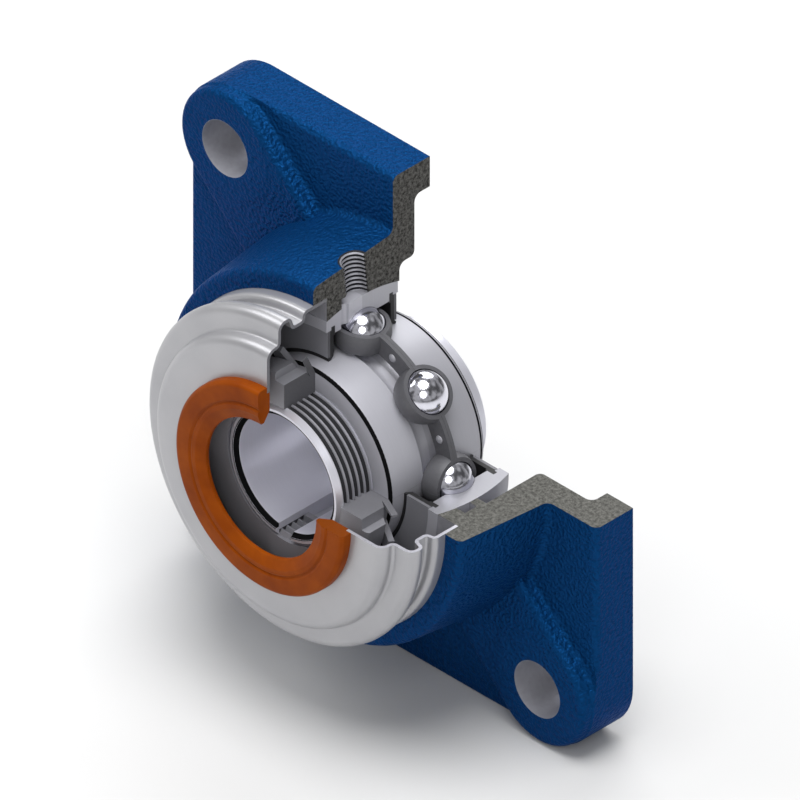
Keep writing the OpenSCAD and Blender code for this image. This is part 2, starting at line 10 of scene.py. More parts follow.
import bmesh
import bpy
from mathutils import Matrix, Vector


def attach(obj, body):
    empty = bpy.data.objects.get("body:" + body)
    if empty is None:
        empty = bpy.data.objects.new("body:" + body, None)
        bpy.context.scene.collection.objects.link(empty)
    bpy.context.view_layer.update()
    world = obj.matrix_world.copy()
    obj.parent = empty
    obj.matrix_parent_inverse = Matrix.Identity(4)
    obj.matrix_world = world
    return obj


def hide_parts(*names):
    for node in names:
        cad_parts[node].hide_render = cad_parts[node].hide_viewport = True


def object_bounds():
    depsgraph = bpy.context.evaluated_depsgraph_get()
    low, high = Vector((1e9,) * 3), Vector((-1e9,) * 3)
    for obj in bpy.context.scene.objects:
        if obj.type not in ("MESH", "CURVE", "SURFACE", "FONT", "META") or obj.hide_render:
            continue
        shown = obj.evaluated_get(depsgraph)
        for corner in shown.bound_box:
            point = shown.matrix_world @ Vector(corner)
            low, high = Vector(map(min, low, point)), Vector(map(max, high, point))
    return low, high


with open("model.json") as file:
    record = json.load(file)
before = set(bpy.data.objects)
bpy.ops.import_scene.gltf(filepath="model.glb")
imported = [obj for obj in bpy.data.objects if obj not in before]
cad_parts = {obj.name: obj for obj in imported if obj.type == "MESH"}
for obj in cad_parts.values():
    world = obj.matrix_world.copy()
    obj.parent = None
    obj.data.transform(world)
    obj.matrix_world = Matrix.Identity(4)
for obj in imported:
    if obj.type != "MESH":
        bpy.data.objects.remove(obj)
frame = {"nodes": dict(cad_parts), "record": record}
cad_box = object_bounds()
MM = 0.001

# Sizes that the finishes and fine parts share with the frame

# Casting
BOLT_SPACING = 83
BOLT_HOLE_R = 6
SEAT_R = 31
COUNTERBORE_R = 35
COUNTERBORE_DEPTH = 27.4
HUB_R = 39
HUB_DEPTH = 31
HUB_DRAFT = radians(6)
GREASE_HOLE_R = 3
GREASE_THREAD_R = 2.72
GREASE_DEPTH = 20.2
GREASE_MOUTH_R = HUB_R + (HUB_DEPTH - GREASE_DEPTH) * tan(HUB_DRAFT)

# Insert bearing
BEARING_DEPTH = 18
BALLS = 8
BALL_R = 4.7625
PITCH_R = 23
RING_HALF_W = 12.5
RING_R = 20.1
RING_CORNER = 0.7
CAGE_HALF_W = 8.3
CAGE_SHEET = 0.77
RIVET_HEAD_R = 0.85
RIVET_HEAD_H = 0.4
RIVET_SHANK_R = 0.5

# Adapter sleeve
SHAFT_R = 12.5
SLEEVE_BACK = 1
SLEEVE_FRONT = 39
SLEEVE_CHAMFER = 0.9
SLEEVE_BACK_CHAMFER = 0.5
TAPER = 12
TAPER_STEP = 0.2
SLIT_W = 4
THREAD_R = 15
THREAD_PITCH = 1.5
THREAD_H = 0.92
THREAD_TURNS = 5
THREAD_START = SLEEVE_FRONT - SLEEVE_CHAMFER
# Where a turn's crest ends, its root starts and ends, and the next crest starts
THREAD_SHARES = (0.125, 0.4, 0.6, 0.875)

# End cover
COVER_DEPTH = 43.3
COVER_SHEET = 0.7
COVER_HOLE_R = 21
COVER_FRONT_R = 30.5
COVER_FRONT_BEND = 2.2
COVER_STEP_DEPTH = 40.3
BEAD_R = 35.8
BEAD_SLOPE = 0.6
BEAD_BEND = 2
BEAD_BACK_DEPTH = 36.9
WAIST_R = 33
WAIST_FRONT_DEPTH = 36.2
WAIST_BACK_DEPTH = 33.8
OUTSIDE_BEND = 1.2
INSIDE_BEND = 0.6
FIT_GAP = 0.05

# Rubber seal in the cover
SEAL_BORE_R = 14.6
SEAL_R = 22.3
SEAL_H = 2.4
SEAL_BEVEL = 2.2
SEAL_BEVEL_BEND = 0.8
SEAL_LIP = 0.8
SEAL_LIP_EDGE = 0.267
SEAL_EDGE = 1
SEAL_GROOVE_R = 18.1
SEAL_GROOVE_INWARDS = 0.4
SEAL_GROOVE_OUTWARDS = 0.5
SEAL_GROOVE_H = 0.35
SEAL_GROOVE_BEND = 0.25

# How far masks reach past a turned surface, a bored hole, the grease hole and an edge
REACH = 0.05
HOLE_REACH = 0.04
GREASE_REACH = 0.06
HAIR = 0.02
# How far they reach to each side of a cut face
CUT_HALF = 0.03
# Widths of the painted dark lines on ring and sleeve, and of the thread's painted highlight
LINE_W = 0.45
MOUTH_W = 0.18
ROOT_BELOW = 0.2
THREAD_PAINTED_HIGHLIGHT_W = 0.25

# Points closer than this are joined, in frame pieces and in turned pieces
WELD_DISTANCE = 0.0005
JOIN_DISTANCE = 0.002
TURN_STEPS = 180


def back_of(depth):
    """The y of a depth, which is measured forwards from the mounting face."""
    return BEARING_DEPTH - depth


# Shader helpers


def new_material(name):
    material = bpy.data.materials.new(name)
    material.use_nodes = True
    return material, Nodes(material.node_tree)


class Nodes:
    """Short calls for the nodes of one material."""

    def __init__(self, tree):
        self.tree = tree
        self.surface = tree.nodes["Principled BSDF"]
        self.where = self.add("ShaderNodeTexCoord").outputs["Object"]
        parts = self.add("ShaderNodeSeparateXYZ")
        self.feed(parts.inputs[0], self.where)
        self.x, self.y, self.z = parts.outputs

    def add(self, kind, **settings):
        node = self.tree.nodes.new(kind)
        for key, value in settings.items():
            setattr(node, key, value)
        return node

    def feed(self, socket, value):
        if isinstance(value, bpy.types.NodeSocket):
            self.tree.links.new(value, socket)
        else:
            socket.default_value = value

    def maths(self, operation, a, b=0.0):
        node = self.add("ShaderNodeMath", operation=operation)
        self.feed(node.inputs[0], a)
        self.feed(node.inputs[1], b)
        return node.outputs[0]

    def times(self, *values):
        total = values[0]
        for value in values[1:]:
            total = self.maths("MULTIPLY", total, value)
        return total

    def plus(self, a, b):
        return self.maths("ADD", a, b)

    def either(self, *masks):
        total = masks[0]
        for mask in masks[1:]:
            total = self.maths("MAXIMUM", total, mask)
        return total

    def below(self, value, limit):
        """One where value, in metres, is less than limit, in millimetres."""
        return self.maths("LESS_THAN", value, limit * MM)

    def above(self, value, limit):
        return self.maths("GREATER_THAN", value, limit * MM)

    def distance(self, a, b):
        return self.maths("SQRT", self.plus(self.times(a, a), self.times(b, b)))

    def radius(self, centre_x=0.0, centre_z=0.0):
        """Distance from an axis along Y, in metres."""
        return self.distance(self.maths("SUBTRACT", self.x, centre_x * MM),
                             self.maths("SUBTRACT", self.z, centre_z * MM))

    def between(self, value, low, high):
        return self.times(self.above(value, low), self.below(value, high))

    def upright_cut(self):
        """One on the faces of the cut that look towards +X."""
        return self.times(self.between(self.x, -CUT_HALF, CUT_HALF), self.above(self.z, REACH))

    def level_cut(self):
        """One on the faces of the cut that look upwards."""
        return self.times(self.between(self.z, -CUT_HALF, CUT_HALF), self.above(self.x, REACH))

    def noise(self, scale, detail=2.0, roughness=0.5, stretch=None):
        """Noise whose scale is in cells per metre."""
        source = self.where
        if stretch:
            mapping = self.add("ShaderNodeMapping")
            mapping.inputs["Scale"].default_value = stretch
            self.feed(mapping.inputs[0], source)
            source = mapping.outputs[0]
        node = self.add("ShaderNodeTexNoise")
        node.inputs["Scale"].default_value = scale
        node.inputs["Detail"].default_value = detail
        node.inputs["Roughness"].default_value = roughness
        self.feed(node.inputs["Vector"], source)
        return node.outputs[0]

    def contrast(self, value, low, high):
        """Spreads the part of value between low and high over 0 to 1."""
        node = self.add("ShaderNodeMapRange")
        self.feed(node.inputs["Value"], value)
        node.inputs["From Min"].default_value = low
        node.inputs["From Max"].default_value = high
        return node.outputs[0]

    def mix(self, share, first, second):
        node = self.add("ShaderNodeMix", data_type="RGBA")
        self.feed(node.inputs[0], share)
        self.feed(node.inputs[6], first)
        self.feed(node.inputs[7], second)
        return node.outputs[2]

    def blend(self, share, first, second):
        node = self.add("ShaderNodeMix")
        self.feed(node.inputs[0], share)
        self.feed(node.inputs[2], first)
        self.feed(node.inputs[3], second)
        return node.outputs[0]

    def bump(self, height, distance, strength=1.0):
        node = self.add("ShaderNodeBump")
        node.inputs["Distance"].default_value = distance * MM
        node.inputs["Strength"].default_value = strength
        self.feed(node.inputs["Height"], height)
        return node.outputs[0]

    def finish(self, **inputs):
        for key, value in inputs.items():
            self.feed(self.surface.inputs[key.replace("_", " ")], value)


def rgb(red, green, blue):
    return (red, green, blue, 1.0)


def grey(value, blueness=1.10):
    return (value, value, value * blueness, 1.0)


# Finishes


def blue_casting():
    """Blue paint over a cast skin, bare metal in the machined holes with painted shade in the grease
    hole's thread roots, and grainy iron where it is cut: a darker copy with painted shade on the
    upright cut and a lighter copy with painted light on the level cut.
    """
    material, n = new_material("blue_casting")
    upright = n.upright_cut()
    level = n.level_cut()
    cut = n.either(upright, level)

    bare = n.below(n.radius(), COUNTERBORE_R + REACH)
    for px in (-1, 1):
        for pz in (-1, 1):
            hole = n.radius(px * BOLT_SPACING / 2, pz * BOLT_SPACING / 2)
            bare = n.either(bare, n.below(hole, BOLT_HOLE_R + HOLE_REACH))
    # The grease hole stands square to the hub's wall
    out = n.maths("SUBTRACT", n.z, GREASE_MOUTH_R * MM)
    along = n.maths("SUBTRACT", n.y, back_of(GREASE_DEPTH) * MM)
    aside = n.plus(n.times(along, cos(HUB_DRAFT)), n.times(out, sin(HUB_DRAFT)))
    from_hole = n.distance(n.x, aside)
    in_hole = n.times(n.below(from_hole, GREASE_HOLE_R + GREASE_REACH), n.above(n.z, SEAT_R - 1))
    bare = n.either(bare, in_hole)
    grease_root_painted_shade = n.times(in_hole, n.above(from_hole, GREASE_THREAD_R))

    skin = n.contrast(n.noise(1350, 1.0, 0.4), 0.2, 0.8)
    fine = n.contrast(n.noise(2100, 3.0, 0.6), 0.3, 0.7)
    patches = n.noise(70, 2.0)
    paint = n.mix(skin, rgb(0.0019, 0.033, 0.113), rgb(0.0045, 0.048, 0.163))
    paint = n.mix(n.times(fine, 0.4), paint, rgb(0.0026, 0.038, 0.134))
    paint = n.mix(n.times(patches, 0.3), paint, rgb(0.0022, 0.036, 0.124))
    metal = n.mix(n.noise(900, 2.0), grey(0.27), grey(0.38))
    # Painted shade, nearly black, in the thread roots of the grease hole
    metal = n.mix(grease_root_painted_shade, metal, grey(0.03))
    grains = n.contrast(n.noise(1300, 4.0, 0.8), 0.38, 0.62)
    # Cut iron in two copies: darker with painted shade for the upright cut, lighter with painted light
    # for the level cut
    iron_in_painted_shade = n.mix(grains, rgb(0.022, 0.021, 0.019), rgb(0.145, 0.142, 0.134))
    iron_in_painted_light = n.mix(grains, rgb(0.058, 0.057, 0.052), rgb(0.160, 0.158, 0.146))
    colour = n.mix(bare, paint, metal)
    colour = n.mix(upright, colour, iron_in_painted_shade)
    colour = n.mix(level, colour, iron_in_painted_light)

    roughness = n.blend(bare, 0.38, 0.5)
    roughness = n.blend(cut, roughness, 0.8)
    not_cut = n.maths("SUBTRACT", 1.0, cut)
    metallic = n.times(n.blend(bare, 0.36, 0.35), not_cut)
    painted = n.maths("SUBTRACT", 1.0, n.either(bare, cut))
    peel = n.times(n.plus(skin, n.times(fine, 0.1)), painted)
    broken = n.times(n.plus(n.noise(700, 4.0, 0.6), n.times(grains, 0.3)), cut, 0.5)
    n.finish(Base_Color=colour, Roughness=roughness, Metallic=metallic,
             Normal=n.bump(n.plus(peel, broken), 0.34))
    n.surface.inputs["Specular IOR Level"].default_value = 0.03
    n.surface.inputs["Specular Tint"].default_value = rgb(0.10, 0.36, 0.90)
    return material


def ground_steel(name, light, dark, roughness, metallic, black, dim, dim_share):
    """Ground steel with faint rings.

    black and dim are functions of the nodes: black gives dark bands of painted dark reflection and
    painted shade, dim gives the parts darkened by painted shade.
    """
    material, n = new_material(name)
    rings = n.noise(400, 3.0, 0.6, stretch=(0.02, 12.0, 0.02))
    cloud = n.noise(120, 2.0)
    colour = n.mix(rings, grey(light), grey(dark))
    colour = n.mix(n.times(cloud, 0.25), colour, grey(light))
    # Painted shade: the parts that dim picks are darkened towards grey
    colour = n.mix(n.times(dim(n), dim_share), colour, grey(0.1))
    # Painted dark reflections and painted shade: near-black bands with no metal and no specular
    painted_dark_band = black(n)
    colour = n.mix(painted_dark_band, colour, grey(0.006))
    metallic = n.blend(painted_dark_band, metallic, 0.0)
    n.finish(Specular_IOR_Level=n.blend(painted_dark_band, 0.5, 0.0))
    n.finish(Base_Color=colour, Metallic=metallic, Normal=n.bump(rings, 0.008, 0.5))
    n.finish(Roughness=n.plus(n.times(rings, 0.08), roughness))
    return material


def ring_painted_dark_bands(n):
    """Painted dark reflection on the rounded outer corners of the inner ring, and painted dark lines
    beside the far corner.
    """
    from_axis = n.radius()
    at_corner = n.between(from_axis, RING_R - RING_CORNER + HAIR, RING_R - CUT_HALF)
    front = n.times(at_corner, n.below(n.y, -(RING_HALF_W - RING_CORNER - HAIR)))
    line = n.between(n.y, RING_HALF_W - RING_CORNER - LINE_W, RING_HALF_W - RING_CORNER)
    edge = n.above(n.y, RING_HALF_W - LINE_W)
    back = n.times(n.above(from_axis, RING_R - RING_CORNER), n.either(line, edge))
    return n.either(front, back)


def sleeve_painted_dark_bands(n):
    """Painted dark reflection on the chamfer of the sleeve's bore and at its mouth, and painted shade
    in the roots of its thread.
    """
    from_axis = n.radius()
    chamfer = n.times(n.between(from_axis, SHAFT_R + HOLE_REACH, SHAFT_R + SLEEVE_CHAMFER - REACH),
                      n.below(n.y, back_of(THREAD_START) - HAIR))
    mouth = n.times(n.below(from_axis, SHAFT_R + SLEEVE_CHAMFER + MOUTH_W),
                    n.below(n.y, back_of(SLEEVE_FRONT) + HAIR))
    root = n.between(from_axis, THREAD_R - THREAD_H - 2 * REACH, THREAD_R - ROOT_BELOW)
    on_thread = n.between(n.y, back_of(THREAD_START) + HAIR, -RING_HALF_W)
    return n.either(chamfer, mouth, n.times(root, on_thread, 0.9))


def ring_painted_shade(n):
    """Painted shade on the inner ring behind the balls, and stronger painted shade on the cut faces
    that look upwards.
    """
    return n.either(n.above(n.y, 0.0), n.times(n.level_cut(), 2.0))


def sleeve_thread_painted_shade(n):
    """Painted shade on the threaded part, behind an undarkened strip that stands as a painted
    highlight.
    """
    return n.times(n.above(n.radius(), THREAD_R - THREAD_H - 2 * REACH),
                   n.between(n.y, back_of(THREAD_START) + THREAD_PAINTED_HIGHLIGHT_W, -RING_HALF_W))


def polished_steel():
    material, n = new_material("polished_steel")
    marks = n.noise(700, 2.0)
    n.finish(Base_Color=n.mix(marks, grey(0.78), grey(0.70)), Metallic=1.0,
             Roughness=n.plus(n.times(marks, 0.05), 0.12))
    return material


def dark_steel(name, light, dark, cavity_painted_light=None):
    """Dark pressed steel. The last argument is a paler grey, painted light on the nut, the washer and
    the seal plates, which lie in shade; their cut faces that look upwards get a lighter copy, also
    painted light.
    """
    material, n = new_material(name)
    grain = n.noise(1800, 3.0, 0.6)
    colour = n.mix(grain, grey(dark), grey(light))
    if cavity_painted_light:
        level = n.level_cut()
        cut = n.either(n.upright_cut(), level)
        # Painted light: a lighter copy on the cut faces that look upwards
        colour = n.mix(level, colour, n.mix(grain, grey(0.145), grey(0.175)))
        aside = n.above(n.maths("ABSOLUTE", n.y), CAGE_HALF_W)
        uncut = n.times(aside, n.maths("SUBTRACT", 1.0, cut))
        # Painted light: the uncut faces beside the cage are paler to lift the shade they lie in
        colour = n.mix(uncut, colour, n.mix(grain, grey(cavity_painted_light * 0.9), grey(cavity_painted_light)))
    n.finish(Base_Color=colour, Metallic=0.2, Normal=n.bump(grain, 0.02, 0.6))
    n.finish(Roughness=n.plus(n.times(grain, 0.15), 0.42))
    return material


def black_rubber():
    material, n = new_material("black_rubber")
    grain = n.noise(2500, 2.0)
    n.finish(Base_Color=n.mix(grain, grey(0.006), grey(0.014)), Roughness=0.6,
             Normal=n.bump(grain, 0.02, 0.5))
    return material


def cover_steel():
    """Zinc-plated sheet, with painted shade on the upright cut, which is darker and not metallic."""
    material, n = new_material("cover_steel")
    cloud = n.noise(90, 3.0, 0.5)
    grain = n.noise(2200, 2.0)
    colour = n.mix(cloud, grey(0.36, 1.06), grey(0.48, 1.03))
    # Painted shade: the upright cut is a darker grey
    colour = n.mix(n.upright_cut(), colour, grey(0.16))
    colour = n.mix(n.level_cut(), colour, grey(0.44))
    n.finish(Base_Color=colour, Metallic=n.times(n.maths("SUBTRACT", 1.0, n.upright_cut()), 0.55))
    n.finish(Roughness=n.plus(n.times(cloud, 0.12), 0.30))
    n.finish(Normal=n.bump(grain, 0.006, 0.5))
    return material


def orange_rubber():
    material, n = new_material("orange_rubber")
    cloud = n.contrast(n.noise(140, 3.0, 0.55), 0.3, 0.7)
    grain = n.noise(1700, 2.0)
    colour = n.mix(cloud, rgb(0.190, 0.033, 0.001), rgb(0.280, 0.056, 0.001))
    # Painted shade: the cut faces that look upwards are a darker orange
    colour = n.mix(n.level_cut(), colour, rgb(0.170, 0.036, 0.002))
    n.finish(Base_Color=colour, Roughness=0.45, Normal=n.bump(grain, 0.015, 0.6))
    n.surface.inputs["Specular IOR Level"].default_value = 0.06
    return material


finishes = {
    "blue_casting": blue_casting(),
    "bearing_steel": ground_steel("bearing_steel", 0.50, 0.43, 0.36, 0.3,
                                  ring_painted_dark_bands, ring_painted_shade, 0.25),
    "polished_steel": polished_steel(),
    "dark_steel": dark_steel("dark_steel", 0.115, 0.080, cavity_painted_light=0.26),
    "rivet_steel": dark_steel("rivet_steel", 0.36, 0.28),
    "black_rubber": black_rubber(),
    "turned_steel": ground_steel("turned_steel", 0.72, 0.60, 0.28, 0.5,
                                 sleeve_painted_dark_bands, sleeve_thread_painted_shade, 0.5),
    "cover_steel": cover_steel(),
    "orange_rubber": orange_rubber(),
}


# Geometry Nodes helpers


class Tree:
    """A Geometry Nodes tree with named inputs."""

    def __init__(self, name, numbers=(), counts=(), has_section=False):
        self.group = bpy.data.node_groups.new(name, "GeometryNodeTree")
        face = self.group.interface
        if has_section:
            face.new_socket("Section", in_out="INPUT", socket_type="NodeSocketGeometry")
        face.new_socket("Geometry", in_out="OUTPUT", socket_type="NodeSocketGeometry")
        for key in numbers:
            face.new_socket(key, in_out="INPUT", socket_type="NodeSocketFloat")
        for key in counts:
            face.new_socket(key, in_out="INPUT", socket_type="NodeSocketInt")
        face.new_socket("Finish", in_out="INPUT", socket_type="NodeSocketMaterial")
        self.given = self.add("NodeGroupInput").outputs

    def add(self, kind, inputs=None, **settings):
        node = self.group.nodes.new(kind)
        for key, value in settings.items():
            setattr(node, key, value)
        for key, value in (inputs or {}).items():
            socket = node.inputs[key]
            if isinstance(value, bpy.types.NodeSocket):
                self.group.links.new(value, socket)
            else:
                socket.default_value = value
        return node

    def maths(self, operation, a, b=0.0):
        return self.add("ShaderNodeMath", {0: a, 1: b}, operation=operation).outputs[0]

    def vector(self, x=0.0, y=0.0, z=0.0):
        return self.add("ShaderNodeCombineXYZ", {0: x, 1: y, 2: z}).outputs[0]

    def moved(self, geometry, **inputs):
        return self.add("GeometryNodeTransform", {"Geometry": geometry, **inputs}).outputs[0]

    def joined(self, *parts):
        node = self.add("GeometryNodeJoinGeometry")
        for part in parts:
            self.group.links.new(part, node.inputs[0])
        return node.outputs[0]

    def close(self, geometry):
        real = self.add("GeometryNodeRealizeInstances", {"Geometry": geometry}).outputs[0]
        done = self.add("GeometryNodeSetMaterial",
                        {"Geometry": real, "Material": self.given["Finish"]}).outputs[0]
        end = self.group.nodes.new("NodeGroupOutput")
        self.group.links.new(done, end.inputs[0])


def grown(name, tree, section=(), **values):
    """A plain object with the mesh that a tree makes from the given values."""
    outline = bpy.data.meshes.new(name + "_maker")
    n = len(section)
    outline.from_pydata([(p.x * MM, back_of(p.y) * MM, 0) for p in section],
                        [(i, (i + 1) % n) for i in range(n)], [])
    maker = bpy.data.objects.new(name + "_maker", outline)
    bpy.context.scene.collection.objects.link(maker)
    modifier = maker.modifiers.new(name, "NODES")
    modifier.node_group = tree.group
    for item in tree.group.interface.items_tree:
        if item.in_out == "INPUT" and item.name != "Section":
            modifier[item.identifier] = values[item.name.replace(" ", "_")]
    depsgraph = bpy.context.evaluated_depsgraph_get()
    mesh = bpy.data.meshes.new_from_object(maker.evaluated_get(depsgraph), depsgraph=depsgraph)
    bpy.data.objects.remove(maker)
    mesh.name = name
    mesh.shade_smooth()
    mesh.set_sharp_from_angle(angle=radians(35))
    piece = bpy.data.objects.new(name, mesh)
    bpy.context.scene.collection.objects.link(piece)
    return piece


def ball_tree():
    """One ball on the pitch circle, turned about the shaft from the top."""
    tree = Tree("one_ball", ["Ball radius", "Pitch radius", "Turn"], ["Fineness"])
    given = tree.given
    ball = tree.add("GeometryNodeMeshIcoSphere", {"Radius": given["Ball radius"],
                                                  "Subdivisions": given["Fineness"]}).outputs[0]
    ball = tree.moved(ball, Translation=tree.vector(z=given["Pitch radius"]))
    tree.close(tree.moved(ball, Rotation=tree.vector(y=given["Turn"])))
    return tree


def rivet_tree():
    """Domed rivets through both halves of the cage, midway between the balls."""
    tree = Tree("rivet_circle", ["Circle radius", "First turn", "Head radius", "Head height",
                                 "Shank radius", "Grip"], ["Rivets"])
    given = tree.given
    shank = tree.add("GeometryNodeMeshCylinder", {
        "Vertices": 24, "Radius": given["Shank radius"],
        "Depth": tree.maths("MULTIPLY", given["Grip"], 2.0)}).outputs[0]
    dome = tree.add("GeometryNodeMeshUVSphere", {"Segments": 24, "Rings": 12, "Radius": 1.0}).outputs[0]
    size = tree.vector(given["Head radius"], given["Head radius"], given["Head height"])
    front = tree.moved(dome, Scale=size, Translation=tree.vector(z=given["Grip"]))
    low = tree.maths("MULTIPLY", given["Grip"], -1.0)
    back = tree.moved(dome, Scale=size, Translation=tree.vector(z=low))
    rivet = tree.moved(tree.joined(shank, front, back), Rotation=tree.vector(x=pi / 2))
    ring = tree.add("GeometryNodeMeshCircle", {"Vertices": given["Rivets"],
                                               "Radius": given["Circle radius"]}).outputs[0]
    ring = tree.moved(ring, Rotation=tree.vector(x=pi / 2))
    ring = tree.moved(ring, Rotation=tree.vector(y=given["First turn"]))
    tree.close(tree.add("GeometryNodeInstanceOnPoints", {"Points": ring, "Instance": rivet}).outputs[0])
    return tree


def turned_tree():
    """A section carried round the shaft, open at a slit with parallel sides if one is given.

    The section is the loop of points in the maker's own mesh: x is the radius, y lies along the shaft.
    """
    tree = Tree("turned_section", ["First turn", "Last turn", "Half slit"], ["Corners", "Steps"],
                has_section=True)
    given = tree.given
    section = given["Section"]
    place_now = tree.add("GeometryNodeInputPosition").outputs[0]

    def turn_of(point, share):
        parts = tree.add("ShaderNodeSeparateXYZ", {0: point}).outputs
        edge = tree.maths("ARCSINE", tree.maths("DIVIDE", given["Half slit"], parts[0]))
        first = tree.maths("ADD", given["First turn"], edge)
        last = tree.maths("SUBTRACT", given["Last turn"], edge)
        way = tree.maths("MULTIPLY", share, tree.maths("SUBTRACT", last, first))
        turn = tree.maths("ADD", first, way)
        across = tree.maths("MULTIPLY", parts[0], tree.maths("SINE", turn))
        up = tree.maths("MULTIPLY", parts[0], tree.maths("COSINE", turn))
        return tree.vector(across, parts[1], up)

    number = tree.add("GeometryNodeInputIndex").outputs[0]
    row = tree.maths("ADD", given["Corners"], 1.0)
    column = tree.maths("FLOORED_MODULO", number, row)
    corner = tree.maths("FLOORED_MODULO", column, given["Corners"])
    step = tree.maths("FLOOR", tree.maths("DIVIDE", tree.maths("ADD", number, 0.5), row))
    point = tree.add("GeometryNodeSampleIndex", {
        "Geometry": section, "Value": place_now, "Index": corner}, data_type="FLOAT_VECTOR").outputs[0]
    wall = tree.add("GeometryNodeMeshGrid", {
        "Vertices X": tree.maths("ADD", given["Steps"], 1.0), "Vertices Y": row}).outputs[0]
    share = tree.maths("DIVIDE", step, given["Steps"])
    wall = tree.add("GeometryNodeSetPosition", {
        "Geometry": wall, "Position": turn_of(point, share)}).outputs[0]

    loop = tree.add("GeometryNodeMeshToCurve", {"Mesh": section}).outputs[0]
    face = tree.add("GeometryNodeFillCurve", {"Curve": loop}, mode="TRIANGLES").outputs[0]
    first_face = tree.add("GeometryNodeSetPosition", {
        "Geometry": face, "Position": turn_of(place_now, 0.0)}).outputs[0]
    last_face = tree.add("GeometryNodeSetPosition", {
        "Geometry": tree.add("GeometryNodeFlipFaces", {"Mesh": face}).outputs[0],
        "Position": turn_of(place_now, 1.0)}).outputs[0]
    whole = tree.joined(wall, first_face, last_face)
    tree.close(tree.add("GeometryNodeMergeByDistance", {
        "Geometry": whole, "Distance": JOIN_DISTANCE * MM}).outputs[0])
    return tree


# Sections of the turned pieces


def round_corner(before, at, after, radius, steps=7):
    """Points of a round corner between two neighbours."""
    a = (before - at).normalized()
    b = (after - at).normalized()
    half = a.angle(b) / 2
    if radius <= 0 or half > radians(89):
        return [at]
    centre = at + (a + b).normalized() * radius / sin(half)
    first = at + a * radius / tan(half) - centre
    last = at + b * radius / tan(half) - centre
    sweep = atan2(first.x * last.y - first.y * last.x, first.dot(last))
    angle = atan2(first.y, first.x)
    return [centre + radius * Vector((cos(angle + sweep * i / steps), sin(angle + sweep * i / steps)))
            for i in range(steps + 1)]


def rounded(points, closed=True):
    """An outline from radius, depth and corner radius, in millimetres."""
    flat = [Vector(p[:2]) for p in points]
    n = len(flat)
    out = []
    for i, (_, _, radius) in enumerate(points):
        if not closed and i in (0, n - 1):
            out.append(flat[i])
        else:
            out += round_corner(flat[i - 1], flat[i], flat[(i + 1) % n], radius)
    return out


def sheet(path, thickness):
    """The section of a sheet that lies on the right of a path."""
    ways = [(b - a).normalized() for a, b in zip(path, path[1:])]
    other = []
    for i, at in enumerate(path):
        before = ways[max(i - 1, 0)]
        way = (before + ways[min(i, len(ways) - 1)]).normalized()
        other.append(at + thickness * Vector((way.y, -way.x)) / max(0.5, way.dot(before)))
    return path + other[::-1]


def cover_section():
    """The pressed cover: raised front, bead, waist and rim."""
    rim_r = COUNTERBORE_R - FIT_GAP
    line = rounded([
        (COVER_HOLE_R, COVER_DEPTH, 0), (COVER_FRONT_R, COVER_DEPTH, COVER_FRONT_BEND),
        (COVER_FRONT_R, COVER_STEP_DEPTH, INSIDE_BEND), (BEAD_R, COVER_STEP_DEPTH, BEAD_BEND),
        (BEAD_R - BEAD_SLOPE, BEAD_BACK_DEPTH, OUTSIDE_BEND),
        (WAIST_R, WAIST_FRONT_DEPTH, INSIDE_BEND), (WAIST_R, WAIST_BACK_DEPTH, INSIDE_BEND),
        (rim_r, WAIST_BACK_DEPTH, OUTSIDE_BEND), (rim_r, COUNTERBORE_DEPTH, 0)], closed=False)
    return sheet(line, COVER_SHEET)


def cover_seal_section():
    """The rubber seal, with a bevelled lip and a shallow groove round its front."""
    front = COVER_DEPTH + SEAL_H
    back = COVER_DEPTH - COVER_SHEET
    lip_depth = COVER_DEPTH + SEAL_H / 2
    bevel_r = SEAL_BORE_R + SEAL_BEVEL
    edge_r = COVER_HOLE_R - FIT_GAP
    return rounded([
        (SEAL_BORE_R, lip_depth - SEAL_LIP / 2, SEAL_LIP_EDGE),
        (SEAL_BORE_R, lip_depth + SEAL_LIP / 2, SEAL_LIP_EDGE),
        (bevel_r, front, SEAL_BEVEL_BEND),
        (SEAL_GROOVE_R - SEAL_GROOVE_INWARDS, front, SEAL_GROOVE_BEND),
        (SEAL_GROOVE_R, front - SEAL_GROOVE_H, SEAL_GROOVE_BEND),
        (SEAL_GROOVE_R + SEAL_GROOVE_OUTWARDS, front, SEAL_GROOVE_BEND),
        (SEAL_R, front, SEAL_EDGE), (SEAL_R, COVER_DEPTH, 0),
        (edge_r, COVER_DEPTH, 0), (edge_r, back, 0), (bevel_r, back, SEAL_EDGE)])


def sleeve_section():
    """The adapter sleeve: straight bore, threaded front and tapered outside."""
    seat_end = BEARING_DEPTH + RING_HALF_W
    seat_front = THREAD_R + TAPER_STEP
    seat_back = seat_front + (seat_end - SLEEVE_BACK) / TAPER / 2
    back_edge = SLEEVE_BACK + SLEEVE_BACK_CHAMFER
    line = [(SHAFT_R, back_edge), (SHAFT_R, THREAD_START), (SHAFT_R + SLEEVE_CHAMFER, SLEEVE_FRONT),
            (THREAD_R - SLEEVE_CHAMFER, SLEEVE_FRONT), (THREAD_R, THREAD_START)]
    crest_and_root = (THREAD_R, THREAD_R - THREAD_H, THREAD_R - THREAD_H, THREAD_R)
    for turn in range(THREAD_TURNS):
        for share, r in zip(THREAD_SHARES, crest_and_root):
            line.append((r, THREAD_START - THREAD_PITCH * (turn + share)))
    line += [(THREAD_R, seat_end), (seat_front, seat_end), (seat_back, back_edge),
             (seat_back - SLEEVE_BACK_CHAMFER, SLEEVE_BACK),
             (SHAFT_R + SLEEVE_BACK_CHAMFER, SLEEVE_BACK)]
    return [Vector(p) for p in line]


# Pieces from the frame, with their edges welded and smoothed


